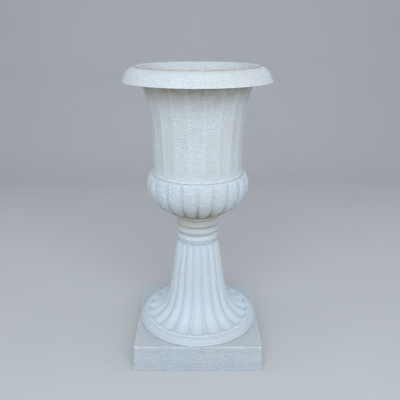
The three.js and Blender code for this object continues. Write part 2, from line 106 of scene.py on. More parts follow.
# ---- Collar ----
COLLAR_BOTTOM = STEM_TOP + GAP
COLLAR_TOP = COLLAR_HIGH[2]
RING_HEIGHT = 24.2
RING_RADII = (58.8, 60.2)
RING_BULGE = 8.0
NECK_RADIUS = 59.6
NECK_BOTTOM = COLLAR_BOTTOM + 2 * RING_HEIGHT
BEAD_RADIUS = COLLAR_HIGH[0]
BEAD_HEIGHT = 9.0
BEAD_BULGE = 3.0
COLLAR_BORE = 46.0
COLLAR_RECESS_RADIUS = 52.0
COLLAR_RECESS_FLOOR = COLLAR_TOP - 11
COLLAR_WEB = 6.0

# ---- Bowl ----
BOWL_BOTTOM = COLLAR_TOP + GAP
BOWL_CREST = BOWL_HIGH[2]
BOWL_SHOULDER_HEIGHT = 30.8
BOWL_UNDER_HEIGHT = 96.0
BOWL_INNER_HEIGHT = 82.0
BOWL_WAIST = BOWL_CREST - BOWL_SHOULDER_HEIGHT
BOWL_RADIUS = 139.9
BOWL_CREST_RADIUS = 126.0
BOWL_LIP_RADIUS = 121.5
LOBE_DEPTH = 6.0
BOWL_INNER_RADIUS = BOWL_RADIUS - LOBE_DEPTH - 6
BOWL_FLOOR = 411.0
BOWL_LOBES = 20
SEAT_RADIUS = 66.0
SEAT_WALL = 4.0
SEAT_TOP = CUP_LOW[2] - GAP
SEAT_SLOT = 12.0

# ---- Cup ----
CUP_BOTTOM = CUP_LOW[2]
HEIGHT = CUP_HIGH[2]
RIM_RADIUS = CUP_HIGH[0]
CUP_WALL = 4.0
CUP_FLOOR_RADIUS = 84.0
HEEL_RADII = (29.8, 30.0)
CUP_RADIUS = 119.8
CUP_FLUTES = 20
CUP_FLUTE_PHASE = math.radians(8)
CUP_FLUTE_DEPTH = 2.1
FLOOR_RIB_HEIGHT = 1.6
FLANGE_BOTTOM = BOWL_CREST + FLANGE_GAP
FLANGE_TOP = FLANGE_BOTTOM + 6
FLANGE_RADIUS = 123.8
LIP_HEIGHT = HEIGHT - 38
LIP_THICKNESS = 3.5
OVOLO_INNER_RADIUS = 159.4
OVOLO_HEIGHT = 35.0
MOUTH_RADIUS = 150.0
DRAIN_RADIUS = 9.5

# ---- Fasteners, plug and holes ----
BOLT_RADIUS = 5.0
BOLT_HOLE = BOLT_RADIUS + 0.6
BOLT_HEAD_HEIGHT = 5.0
BOLT_THREAD_LENGTH = 60.0
BOLT_PITCH = 1.5
NUT_HEIGHT = 10.0
NUT_RADIUS = 9.5
NUT_BORE = 5.4
WING_THICKNESS = 3.0
WING_ROUND = 6.0
SCREW_RADIUS = 2.2
SCREW_HOLE = SCREW_RADIUS + 0.4
SCREW_HEAD_HEIGHT = 3.5
SCREW_PITCH = 1.6
DRIVE_WIDTH = 4.4
DRIVE_DEPTH = 1.6
PLUG_FLANGE_HEIGHT = 3.2
GRIP_RADIUS = 8.0
GRIP_THICKNESS = 3.0
WEEP_RADIUS = 4.0
WEEP_CIRCLE = 34.0
STEM_BOSS_HEIGHT = 16.0
PILOT_DEPTH = 11.0


# ---- Curves in the (radius, height) plane ----
def line(start, end, step):
    """Points from start towards end, no further apart than step, leaving the end out."""
    start, end = np.array(start, float), np.array(end, float)
    count = max(1, math.ceil(np.linalg.norm(end - start) / step))
    return start + (end - start) * np.linspace(0, 1, count, endpoint=False)[:, None]


def arc(centre, radii, first, last, step):
    """Points on an ellipse from the first to the last angle in degrees."""
    length = math.radians(abs(last - first)) * max(radii)
    angles = np.radians(np.linspace(first, last, max(3, math.ceil(length / step) + 1)))
    return np.stack([centre[0] + radii[0] * np.cos(angles), centre[1] + radii[1] * np.sin(angles)], 1)


def bezier(points, count):
    """A cubic Bezier curve on four control points."""
    t = np.linspace(0, 1, count)[:, None]
    a, b, c, d = (np.array(point, float) for point in points)
    return (1 - t) ** 3 * a + 3 * (1 - t) ** 2 * t * b + 3 * (1 - t) * t**2 * c + t**3 * d


def spline(points, count):
    """A Catmull-Rom curve through the points, with count samples in each span."""
    points = np.array(points, float)
    padded = np.concatenate([2 * points[:1] - points[1:2], points, 2 * points[-1:] - points[-2:-1]])
    t = np.linspace(0, 1, count, endpoint=False)[:, None]
    spans = []
    for before, start, end, after in zip(padded[:-3], padded[1:-2], padded[2:-1], padded[3:]):
        linear = (end - before) * t
        square = (2 * before - 5 * start + 4 * end - after) * t**2
        cubic = (3 * start - before - 3 * end + after) * t**3
        spans.append(0.5 * (2 * start + linear + square + cubic))
    spans.append(points[-1:])
    return np.concatenate(spans)


def eased(corners, step):
    """A polyline through (radius, height, rounding) corners, each rounded off by its rounding."""
    corners = [np.array(corner, float) for corner in corners]
    parts = []
    last = corners[0][:2]
    for before, corner, after in zip(corners[:-2], corners[1:-1], corners[2:]):
        here = corner[:2]
        back, ahead = before[:2] - here, after[:2] - here
        cut = min(corner[2], 0.48 * np.linalg.norm(back), 0.48 * np.linalg.norm(ahead))
        start = here + back / np.linalg.norm(back) * cut
        end = here + ahead / np.linalg.norm(ahead) * cut
        parts.append(line(last, start, step))
        t = np.linspace(0, 1, 5, endpoint=False)[:, None]
        parts.append((1 - t) ** 2 * start + 2 * (1 - t) * t * here + t**2 * end)
        last = end
    parts.append(line(last, corners[-1][:2], step))
    parts.append(corners[-1][None, :2])
    return np.concatenate(parts)


def chain(*parts):
    """Joins runs of points, leaving out any that repeats its neighbour."""
    points = np.concatenate([np.array(part, float).reshape(-1, 2) for part in parts])
    keep = np.ones(len(points), bool)
    keep[1:] = np.linalg.norm(np.diff(points, axis=0), axis=1) > 0.05
    if np.linalg.norm(points[0] - points[-1]) < 0.05:
        keep[-1] = False
    return points[keep]


def normals_of(profile, closed):
    """Unit normals of a profile, pointing out of the piece."""
    if closed:
        tangent = np.roll(profile, -1, 0) - np.roll(profile, 1, 0)
    else:
        tangent = np.gradient(profile, axis=0)
    normal = np.stack([tangent[:, 1], -tangent[:, 0]], 1)
    return normal / np.maximum(np.linalg.norm(normal, axis=1, keepdims=True), 1e-9)


def smooth(value, low, high):
    """0 below low, 1 above high and an S-curve between."""
    t = np.clip((value - low) / (high - low), 0, 1)
    return t * t * (3 - 2 * t)


def hump(value, centre, width):
    """1 at the centre, falling to nearly 0 two widths away."""
    return np.exp(-(((value - centre) / width) ** 2))


# ---- Meshes ----
def mesh_object(name, vertices, faces, crease=None, edge=None):
    """A smooth-shaded object from millimetre vertices. crease (dirt and painted shade) and edge
    (painted highlights) are for its material.
    """
    mesh = bpy.data.meshes.new(name)
    mesh.from_pydata((np.asarray(vertices) * MM).tolist(), [], faces)
    for label, values in (("crease", crease), ("edge", edge)):
        attribute = mesh.attributes.new(label, "FLOAT", "POINT")
        if values is not None:
            attribute.data.foreach_set("value", np.asarray(values, np.float32))
    mesh.polygons.foreach_set("use_smooth", [True] * len(mesh.polygons))
    mesh.update()
    piece = bpy.data.objects.new(name, mesh)
    bpy.context.scene.collection.objects.link(piece)
    return piece


def grid_faces(rows, columns, closed_rows):
    """Quads of a grid that closes round its columns, and round its rows if asked."""
    i, j = np.meshgrid(np.arange(rows if closed_rows else rows - 1), np.arange(columns), indexing="ij")
    above, beside = (i + 1) % rows, (j + 1) % columns
    corners = [i * columns + j, i * columns + beside, above * columns + beside, above * columns + j]
    return np.stack(corners, -1).reshape(-1, 4).tolist()


def even_angles(count):
    return np.linspace(0, 2 * math.pi, count, endpoint=False)


def fluted_angles(repeats, columns, phase):
    """Angles that crowd towards each arris or groove."""
    pitch = 2 * math.pi / repeats
    within = np.sin(0.5 * math.pi * np.linspace(-1, 1, columns, endpoint=False))
    starts = phase + pitch * (np.arange(repeats) + 0.5)
    return (starts[:, None] + 0.5 * pitch * within).reshape(-1)


def revolve(name, profile, angles, relief=None):
    """A solid of revolution. A profile that starts on the axis gets poles, and any other closes on
    itself. relief(profile, angles) gives rows by columns of depth, crease and edge, and depth
    sinks the surface along the profile's normal."""
    poles = profile[0, 0] < 1e-6
    normals = normals_of(profile, not poles)
    depth = crease = edge = np.zeros((len(profile), len(angles)))
    if relief is not None:
        depth, crease, edge = (layer + np.zeros_like(depth) for layer in relief(profile, angles))
    radius = profile[:, :1] - depth * normals[:, :1]
    height = profile[:, 1:] - depth * normals[:, 1:]
    vertices = np.stack([radius * np.sin(angles), -radius * np.cos(angles), height], -1)
    columns = len(angles)
    if not poles:
        faces = grid_faces(len(profile), columns, True)
        return mesh_object(name, vertices.reshape(-1, 3), faces, crease.reshape(-1), edge.reshape(-1))
    tips = [[0, 0, profile[0, 1]], [0, 0, profile[-1, 1]]]
    rows = len(profile) - 2
    faces = grid_faces(rows, columns, False)
    low_tip, high_tip = rows * columns, rows * columns + 1
    for j in range(columns):
        beside = (j + 1) % columns
        faces.append([low_tip, beside, j])
        faces.append([high_tip, (rows - 1) * columns + j, (rows - 1) * columns + beside])
    vertices = np.concatenate([vertices[1:-1].reshape(-1, 3), tips])
    crease = np.append(crease[1:-1], [0, 0])
    edge = np.append(edge[1:-1], [0, 0])
    return mesh_object(name, vertices, faces, crease, edge)


def prism(name, outline, low, high, bevel=0.0):
    """A plate with a counter-clockwise (x, y) outline, from height low to high."""
    count = len(outline)
    vertices = [(x, y, low) for x, y in outline] + [(x, y, high) for x, y in outline]
    faces = [list(range(count))[::-1], list(range(count, 2 * count))]
    for i in range(count):
        j = (i + 1) % count
        faces.append([i, j, count + j, count + i])
    piece = mesh_object(name, vertices, faces)
    if bevel:
        modifier = piece.modifiers.new("bevel", "BEVEL")
        modifier.width = bevel * MM
        modifier.segments = 3
        modifier.limit_method = "ANGLE"
        apply_modifier(piece, modifier)
    return piece


def upright_plate(name, outline, thickness, bevel):
    """A plate across the Y axis, with its outline given as (x, z) points."""
    plate = prism(name, outline, -thickness / 2, thickness / 2, bevel)
    plate.data.transform(Matrix.Rotation(math.pi / 2, 4, "X"))
    return plate


def rectangle(width, depth):
    x, y = width / 2, depth / 2
    return [(-x, -y), (x, -y), (x, y), (-x, y)]


def apply_modifier(piece, modifier):
    with bpy.context.temp_override(object=piece, active_object=piece, selected_objects=[piece]):
        bpy.ops.object.modifier_apply(modifier=modifier.name)


def combine(piece, tool, operation):
    """Joins (UNION) or cuts (DIFFERENCE) a piece with a tool, and removes the tool."""
    modifier = piece.modifiers.new("combine", "BOOLEAN")
    modifier.object = tool
    modifier.operation = operation
    modifier.solver = "EXACT"
    apply_modifier(piece, modifier)
    bpy.data.objects.remove(tool)
    return piece


def post(radius, low, high, columns=32):
    """A plain cylinder to join or cut with."""
    profile = np.array([[0, low], [radius, low], [radius, high], [0, high]])
    return revolve("post", profile, even_angles(columns))


def placed(piece, x=0.0, y=0.0, turn=0.0):
    """Turns a piece about Z, then moves it on the plan."""
    piece.data.transform(Matrix.Translation((x * MM, y * MM, 0)) @ Matrix.Rotation(turn, 4, "Z"))
    return piece


def on_circle(radius, first):
    """Four places on a circle, starting a given angle from +X, each with its own angle."""
    angles = [first + i * math.pi / 2 for i in range(4)]
    return [(radius * math.cos(angle), radius * math.sin(angle), angle) for angle in angles]


def joined(pieces):
    """One object from several that stand apart."""
    with bpy.context.temp_override(active_object=pieces[0], selected_editable_objects=pieces):
        bpy.ops.object.join()
    return pieces[0]


def posts(places, radius, low, high):
    return joined([placed(post(radius, low, high), x, y) for x, y, _ in places])


def drill(piece, places, radius, low, high):
    combine(piece, posts(places, radius, low, high), "DIFFERENCE")


def centre_of(node):
    low, high = box_mm(node)
    return (low + high) / 2


WEEPS = on_circle(WEEP_CIRCLE, 0)
SCREW_NUMBERS = (1, 2, 3, 4)
SCREW_CENTRES = [centre_of(f"plinth_screw_{i}") for i in SCREW_NUMBERS]
SCREWS = [(x, y, math.atan2(y, x)) for x, y, _ in SCREW_CENTRES]


# ---- Flutes and lobes ----
def share_across(profile, angles, repeats, phase, rounding):
    """0 on each arris or groove and 1 half way to the next, with the turn at 0 rounded off."""
    pitch = 2 * math.pi / repeats
    offset = np.abs((angles - phase + pitch / 2) % pitch - pitch / 2)
    distance = profile[:, :1] * offset
    half = profile[:, :1] * pitch / 2
    return (np.hypot(distance, rounding) - rounding) / (np.hypot(half, rounding) - rounding)


def along(profile):
    """Length along the profile up to each point, as a column."""
    steps = np.linalg.norm(np.diff(profile, axis=0), axis=1)
    return np.concatenate([[0], np.cumsum(steps)])[:, None]


def round_end(distance, length):
    """Grows from 0 to 1 over a length, as a quarter circle does."""
    return np.sqrt(1 - (1 - np.clip(distance / length, 0, 1)) ** 2)


# ---- Cup ----
def ovolo_curve(depth, count):
    """The rim's outer face, or one parallel to it inside the rim, from the lip upwards."""
    width = RIM_RADIUS - OVOLO_INNER_RADIUS
    top = LIP_HEIGHT + OVOLO_HEIGHT - depth
    return bezier([
        (RIM_RADIUS - depth, LIP_HEIGHT),
        (RIM_RADIUS - 0.21 * width - depth, (LIP_HEIGHT + top) / 2),
        (RIM_RADIUS - 0.4 * width - depth, top),
        (OVOLO_INNER_RADIUS, top),
    ], count)


def cup_bell():
    """The fluted wall, from above the heel to the rim."""
    return spline([
        (CUP_RADIUS - 2.6, CUP_BOTTOM + 54),
        (CUP_RADIUS, CUP_BOTTOM + 95),
        (CUP_RADIUS + 0.8, CUP_BOTTOM + 164),
        (CUP_RADIUS + 6.4, CUP_BOTTOM + 236),
        (CUP_RADIUS + 17.5, CUP_BOTTOM + 286),
        (OVOLO_INNER_RADIUS - 3.4, HEIGHT - 11),
    ], 22)


def cup_flange():
    """A small sloping flange that covers the joint between the cup and the bowl."""
    return eased([
        (CUP_RADIUS - 1.4, FLANGE_BOTTOM, 0),
        (FLANGE_RADIUS, FLANGE_BOTTOM, 0.3),
        (FLANGE_RADIUS, FLANGE_BOTTOM + 0.8, 0.4),
        (CUP_RADIUS - 0.2, FLANGE_TOP, 3),
        (CUP_RADIUS - 0.1, FLANGE_TOP + 6, 0),
    ], 1)


def cup_rim():
    """The rim's underside, lip and outer face, and the bead round the mouth."""
    under_rim = ovolo_curve(LIP_THICKNESS, 20)[:0:-1]
    ovolo = ovolo_curve(0, 36)[1:]
    lip = eased([
        (*under_rim[-1], 0),
        (RIM_RADIUS - LIP_THICKNESS, LIP_HEIGHT, 0.8),
        (RIM_RADIUS, LIP_HEIGHT, 0.9),
        (*ovolo[0], 0),
    ], 2)
    bead = eased([
        (*ovolo[-1], 0),
        (OVOLO_INNER_RADIUS - 1, HEIGHT - 3.4, 0.8),
        (OVOLO_INNER_RADIUS - 1.6, HEIGHT - 0.2, 1.4),
        (OVOLO_INNER_RADIUS - 5, HEIGHT, 3),
        (MOUTH_RADIUS, HEIGHT - 0.6, 1.6),
        (MOUTH_RADIUS - 2, HEIGHT - 8, 0),
    ], 1.2)
    return under_rim, lip, ovolo, bead


def cup_drain():
    """The drain hole's edge, from the floor inside to the floor below."""
    return eased([
        (DRAIN_RADIUS + 8, CUP_BOTTOM + CUP_WALL, 0),
        (DRAIN_RADIUS, CUP_BOTTOM + CUP_WALL, 1),
        (DRAIN_RADIUS, CUP_BOTTOM, 1),
        (DRAIN_RADIUS + 8, CUP_BOTTOM, 0),
    ], 2)


def cup_profile():
    bell = cup_bell()
    heel = arc((CUP_FLOOR_RADIUS, CUP_BOTTOM + HEEL_RADII[1]), HEEL_RADII, -90, -15, 4)
    low_bell = bell[bell[:, 1] < FLANGE_BOTTOM - 1]
    high_bell = bell[bell[:, 1] > FLANGE_TOP + 7]
    inner_bell = bell[::3] - normals_of(bell, False)[::3] * (CUP_FLUTE_DEPTH + CUP_WALL)
    inner_heel = heel[::2] - normals_of(heel, False)[::2] * CUP_WALL
    inner_wall = [*inner_bell[::-1][1:], *inner_heel[::-1]]
    drain = cup_drain()
    floor_inside = line((CUP_FLOOR_RADIUS, CUP_BOTTOM + CUP_WALL), drain[0], 2)
    floor_below = line(drain[-1], (CUP_FLOOR_RADIUS, CUP_BOTTOM), 6)
    outside = (floor_below, heel, low_bell, cup_flange(), high_bell, *cup_rim())
    return chain(*outside, inner_wall, floor_inside, drain)


def floor_ribs(radius, angles):
    """1 along eight ribs on the cup's floor, 0 between them."""
    spoke = 3 * radius * np.abs(np.sin(4 * angles)) / 4
    return (1 - smooth(spoke, 2, 5)) * smooth(radius, 22, 26) * (1 - smooth(radius, 74, 80))


def streaks(angles):
    """Uneven streaks round the rim, from 0 to 1."""
    return 0.5 + 0.5 * np.sin(31 * angles + 2 * np.sin(7 * angles)) * np.sin(53 * angles + 1)


def cup_relief(profile, angles):
    """Wide shallow flutes that fade in above the flange and out under the rim, and floor ribs."""
    radius, height = profile[:, :1], profile[:, 1:]
    outward = normals_of(profile, True)[:, :1] > 0.2
    wall = outward & (radius < OVOLO_INNER_RADIUS - 1)
    share = share_across(profile, angles, CUP_FLUTES, CUP_FLUTE_PHASE, 2.8)
    fade_in = smooth(height, FLANGE_TOP + 1, FLANGE_TOP + 12)
    fade = fade_in * (1 - smooth(height, HEIGHT - 24, HEIGHT - 14))
    flute = CUP_FLUTE_DEPTH * (1 - (1 - share) ** 2) * fade
    inner_floor = (np.abs(height - CUP_BOTTOM - CUP_WALL) < 0.1) & (radius < CUP_FLOOR_RADIUS)
    ribs = -FLOOR_RIB_HEIGHT * floor_ribs(radius, angles)
    depth = np.where(inner_floor, ribs, np.where(wall, flute, 0))

    # Painted shadow of the rim mixed with a real warm stain: strongest just under the lip, fading down
    # the wall. The bead groove and rim streaks are dirt.
    shelter = smooth(height, LIP_HEIGHT - 90, LIP_HEIGHT)
    rim_shadow_and_stain = 1.05 * shelter**2 + 0.12 * smooth(height, FLANGE_TOP + 90, LIP_HEIGHT - 40)
    bead_groove = hump(radius, OVOLO_INNER_RADIUS + 0.4, 1.3) * (height > HEIGHT - 8)
    on_rim = (height > LIP_HEIGHT + 1) & (radius > OVOLO_INNER_RADIUS - 8) & outward
    rim_dirt = np.where(on_rim, 0.03 + 0.14 * streaks(angles), 0)
    crease = np.where(wall, rim_shadow_and_stain, 0) + 0.6 * bead_groove + rim_dirt
    # Painted highlights on the lip's lower edge, the flute arrises and the top of the rim.
    edge = hump(height, LIP_HEIGHT + 0.5, 1.6) * (radius > RIM_RADIUS - 3)
    edge = edge + 0.35 * np.where(wall, (1 - share) ** 10 * fade, 0) + 0.3 * on_rim
    # Painted light at the flange's foot, against the shade where the cup meets the bowl.
    edge = edge + 0.8 * hump(height, FLANGE_BOTTOM + 1, 2) * wall
    return depth, crease, edge


def make_cup():
    angles = fluted_angles(CUP_FLUTES, 14, CUP_FLUTE_PHASE)
    return revolve("cup_shell", cup_profile(), angles, cup_relief)


# ---- Bowl ----
def bowl_inside():
    """The inside down to the floor, with the seat ring that the cup stands on."""
    radii = (BOWL_INNER_RADIUS, BOWL_INNER_HEIGHT)
    outer_slope = math.degrees(math.acos(SEAT_RADIUS / BOWL_INNER_RADIUS))
    inner_slope = math.degrees(math.acos((SEAT_RADIUS - SEAT_WALL) / BOWL_INNER_RADIUS))
    floor_slope = math.degrees(math.asin((BOWL_WAIST - BOWL_FLOOR) / BOWL_INNER_HEIGHT))
    upper = arc((0, BOWL_WAIST), radii, -2, -outer_slope, 6)
    lower = arc((0, BOWL_WAIST), radii, -inner_slope, -floor_slope, 5)
    seat = eased([
        (*upper[-1], 0),
        (SEAT_RADIUS, SEAT_TOP, 1),
        (SEAT_RADIUS - SEAT_WALL, SEAT_TOP, 1),
        (*lower[0], 0),
    ], 5)
    return upper, seat, lower


def bowl_bottom(start, end):
    """From the floor down the bolt hole and round the spigot to the underside."""
    spigot = COLLAR_RECESS_RADIUS - SPIGOT_GAP
    return eased([
        (*start, 0),
        (BOLT_HOLE, BOWL_FLOOR, 0.8),
        (BOLT_HOLE, BOWL_BOTTOM, 0.8),
        (spigot - SPIGOT_WALL, BOWL_BOTTOM, 1),
        (spigot - SPIGOT_WALL, BOWL_LOW[2], 1),
        (spigot, BOWL_LOW[2], 1),
        (spigot, BOWL_BOTTOM, 1),
        (*end, 0),
    ], 5)


def bowl_profile():
    under_radii = (BOWL_RADIUS, BOWL_UNDER_HEIGHT)
    start = -math.degrees(math.asin((BOWL_WAIST - BOWL_BOTTOM) / BOWL_UNDER_HEIGHT))
    underside = arc((0, BOWL_WAIST), under_radii, start, -2, 2.5)
    shoulder_radii = (BOWL_RADIUS - BOWL_CREST_RADIUS, BOWL_SHOULDER_HEIGHT)
    shoulder = arc((BOWL_CREST_RADIUS, BOWL_WAIST), shoulder_radii, 2, 96, 2)
    lip = eased([
        (*shoulder[-1], 0),
        (BOWL_LIP_RADIUS, BOWL_CREST - 2.5, 1.5),
        (BOWL_LIP_RADIUS, BOWL_CREST - 11, 3),
        (BOWL_LIP_RADIUS + 3, BOWL_CREST - 21, 0),
    ], 3)
    inside = bowl_inside()
    return chain(underside, shoulder, lip, *inside, bowl_bottom(inside[-1][-1], underside[0]))


def bowl_relief(profile, angles):
    """Convex lobes with grooves between them, the first groove at the front."""
    radius, height = profile[:, :1], profile[:, 1:]
    facing = normals_of(profile, True)[:, :1]
    inside = (radius < BOWL_INNER_RADIUS + 0.1) & (facing < 0)
    outside = (facing > -0.3) & (radius > BEAD_RADIUS + 1) & ~inside
    outside = outside & ((height < BOWL_WAIST) | (radius > BOWL_CREST_RADIUS - 2))
    share = share_across(profile, angles, BOWL_LOBES, 0, 1.2)
    section = 0.3 * (1 - share) ** 2 + 0.7 * (1 - share) ** 5
    towards_crest = smooth(BOWL_CREST - height, -1, 16)
    towards_collar = smooth(radius, BEAD_RADIUS, 84)
    depth = LOBE_DEPTH * section * (0.04 + 0.96 * towards_crest) * (0.35 + 0.65 * towards_collar)
    groove = (1 - share) ** 5
    # Darker towards the bottom and in the lower grooves: painted shade under the bowl mixed with real
    # beige dirt.
    low_down = 1 - smooth(height, BOWL_BOTTOM, BOWL_WAIST - 10)
    crease = groove * (0.08 + 0.92 * low_down) + 1.1 * hump(height, BOWL_BOTTOM - 1, 12)
    crease = crease + 1.4 * (1 - smooth(height, BOWL_BOTTOM - 4, BOWL_WAIST - 16)) ** 1.5
    # Painted shade on the bowl's inner lip, in the gap round the cup.
    crease = crease + 0.2 * (height > BOWL_WAIST) * hump(radius, BOWL_LIP_RADIUS + 1, 2)
    # Painted highlight along the crest.
    edge = 0.4 * hump(height, BOWL_CREST, 5)
    return np.where(outside, depth, 0), np.where(outside, crease, 0), np.where(outside, edge, 0)


def make_bowl():
    bowl = revolve("bowl_shell", bowl_profile(), fluted_angles(BOWL_LOBES, 14, 0), bowl_relief)
    slot_length = 2 * SEAT_RADIUS + 2
    for outline in (rectangle(slot_length, SEAT_SLOT), rectangle(SEAT_SLOT, slot_length)):
        slot = prism("slot", outline, BOWL_FLOOR + 0.05, BOWL_FLOOR + SEAT_SLOT)
        combine(bowl, slot, "DIFFERENCE")
    drill(bowl, WEEPS, WEEP_RADIUS, BOWL_BOTTOM - 2, BOWL_FLOOR + 2)
    return bowl


# ---- Collar ----
def collar_rings():
    """The faces of the two half-round rings. The lower one starts close to the stem's top edge."""
    across = np.linspace(-1, 1, 25)
    swell = 0.5 * np.sqrt(1 - across**2) + 0.25 * (1 + np.cos(math.pi * across))
    faces = []
    for i, radius in enumerate(RING_RADII):
        height = COLLAR_BOTTOM + RING_HEIGHT * (i + 0.5 + across / 2)
        faces.append(np.stack([radius - RING_BULGE * (1 - swell), height], 1))
    under_lowest = faces[0][across < 0]
    faces[0][across < 0, 0] = np.maximum(under_lowest[:, 0], STEM_TOP_RADIUS - 1.5)
    return faces


def collar_neck():
    """The plain band between the rings and the bead."""
    top = COLLAR_TOP - BEAD_HEIGHT
    return spline([
        (NECK_RADIUS - 5, NECK_BOTTOM + 0.2),
        (NECK_RADIUS - 1, NECK_BOTTOM + 2),
        (NECK_RADIUS, NECK_BOTTOM + 5),
        (NECK_RADIUS - 0.6, (NECK_BOTTOM + top) / 2),
        (NECK_RADIUS, top - 3),
        (NECK_RADIUS + 0.4, top),
    ], 6)


def collar_inside(start, end):
    """The bowl's recess, the web with the bolt hole, the bore and the spigot."""
    spigot = SOCKET_RADIUS - SPIGOT_GAP
    return eased([
        (*start, 0),
        (COLLAR_RECESS_RADIUS, COLLAR_TOP, 1),
        (COLLAR_RECESS_RADIUS, COLLAR_RECESS_FLOOR, 1),
        (BOLT_HOLE, COLLAR_RECESS_FLOOR, 0.8),
        (BOLT_HOLE, COLLAR_RECESS_FLOOR - COLLAR_WEB, 0.8),
        (COLLAR_BORE, COLLAR_RECESS_FLOOR - COLLAR_WEB, 3),
        (COLLAR_BORE, COLLAR_BOTTOM + 4, 1.5),
        (spigot - SPIGOT_WALL, COLLAR_BOTTOM, 1.5),
        (spigot - SPIGOT_WALL, COLLAR_LOW[2], 1),
        (spigot, COLLAR_LOW[2], 1),
        (spigot, COLLAR_BOTTOM, 0.6),
        (*end, 0),
    ], 6)


def collar_profile():
    rings = collar_rings()
    bead_centre = (BEAD_RADIUS - BEAD_BULGE, COLLAR_TOP - BEAD_HEIGHT / 2)
    bead = arc(bead_centre, (BEAD_BULGE, BEAD_HEIGHT / 2), -80, 88, 0.8)
    return chain(*rings, collar_neck(), bead, collar_inside(bead[-1], rings[0][0]))


def collar_relief(profile, angles):
    """A faint waviness, darker lines of dirt and painted shade at the joints and round the bead, and a
    painted shadow of the bowl over the upper ring and neck.
    """
    radius, height = profile[:, :1], profile[:, 1:]
    outside = normals_of(profile, True)[:, :1] > -0.2
    outside = outside & (radius > SOCKET_RADIUS + 0.5)
    crease = 0
    ring_joint = COLLAR_BOTTOM + RING_HEIGHT
    # Dirt and painted shade in the notches between the rings and at the stem.
    for level, shade_and_grime in ((COLLAR_BOTTOM, 0.15), (ring_joint, 0.5), (NECK_BOTTOM, 0.5)):
        crease = crease + shade_and_grime * hump(height, level, 3.5)
    # Painted shadow of the bowl on the upper ring and the neck.
    crease = crease + 0.4 * smooth(height, ring_joint, NECK_BOTTOM + 8)
    crease = crease + 0.9 * hump(height, COLLAR_TOP - BEAD_HEIGHT, 2)
    crease = crease + 0.6 * hump(height, COLLAR_TOP, 2)
    crease = crease + 0.9 * hump(height, COLLAR_BOTTOM, 1.3)
    wave = 0.25 * np.sin(3 * angles + 0.2 * height) * smooth(radius, 56, 58)
    return np.where(outside, wave, 0), np.where(outside, crease, 0), 0


def make_collar():
    collar = revolve("collar_shell", collar_profile(), even_angles(160), collar_relief)
    drill(collar, WEEPS, WEEP_RADIUS, COLLAR_RECESS_FLOOR - COLLAR_WEB - 2, COLLAR_RECESS_FLOOR + 2)
    return collar


# ---- Stem ----
def trumpet(count):
    """The line that the stem's arrises follow, from the crest of the foot to the top."""
    top = (STEM_TOP_RADIUS, STEM_TOP)
    return bezier([CREST, (70.3, STEM_BOTTOM + 25), (82, STEM_BOTTOM + 124.3), top], count)


def stem_foot():
    """The round foot: a thin square edge, a broad convex band and a step up to the crest."""
    band = arc((CREST[0] + 3, STEM_BOTTOM + 5), (16.5, 13), 2, 84, 1.5)
    edge = eased([
        (FOOT_RADIUS - 4, STEM_BOTTOM, 0),
        (FOOT_RADIUS, STEM_BOTTOM, 0.6),
        (FOOT_RADIUS, STEM_BOTTOM + 4, 1.2),
        (*band[0], 0),
    ], 1.5)
    step = eased([
        (*band[-1], 0),
        (CREST[0] + 3.2, CREST[1] - 2.6, 0.8),
        (CREST[0] + 1.8, CREST[1] - 0.3, 0.9),
        (CREST[0] + 0.4, CREST[1], 0),
    ], 0.8)
    return chain(edge, band, step)


def stem_profile():
    foot = stem_foot()
    sides = trumpet(130)
    web_bottom = SOCKET_FLOOR - STEM_WEB
    hollow = trumpet(44) - normals_of(trumpet(44), False) * (FLARE_FLUTE_DEPTH + 4)
    hollow = hollow[hollow[:, 1] < web_bottom - 3][::-1]
    top = eased([
        (*sides[-1], 0),
        (SOCKET_RADIUS, STEM_TOP, 0.8),
        (SOCKET_RADIUS, SOCKET_FLOOR, 1),
        (BOLT_HOLE, SOCKET_FLOOR, 0.8),
        (BOLT_HOLE, web_bottom, 0.8),
        (hollow[0, 0], web_bottom, 2.5),
        (*hollow[0], 0),
    ], 5)
    skirt = eased([
        (*hollow[-1], 0),
        (FOOT_RADIUS - 10, STEM_BOTTOM + 4, 2),
        (FOOT_RADIUS - 8, STEM_BOTTOM, 0.6),
        (*foot[0], 0),
    ], 3)
    return chain(foot, sides, top, hollow, skirt), len(foot)


def foot_shade_and_highlight(radius, height, from_foot):
    """Painted shade in the groove, over the band and where the foot meets the plinth, and a painted
    highlight on the foot's edge.
    """
    groove = hump(radius, CREST[0] + 3.4, 1.2) * (from_foot < 0)
    band_shade = 0.3 * (radius > CREST[0] + 4)
    edge_highlight = hump(height, STEM_BOTTOM + 4, 1.2) * (radius > FOOT_RADIUS - 4)
    return groove * 0.2 + 0.5 * hump(height, STEM_BOTTOM, 1.5) + band_shade, 0.6 * edge_highlight


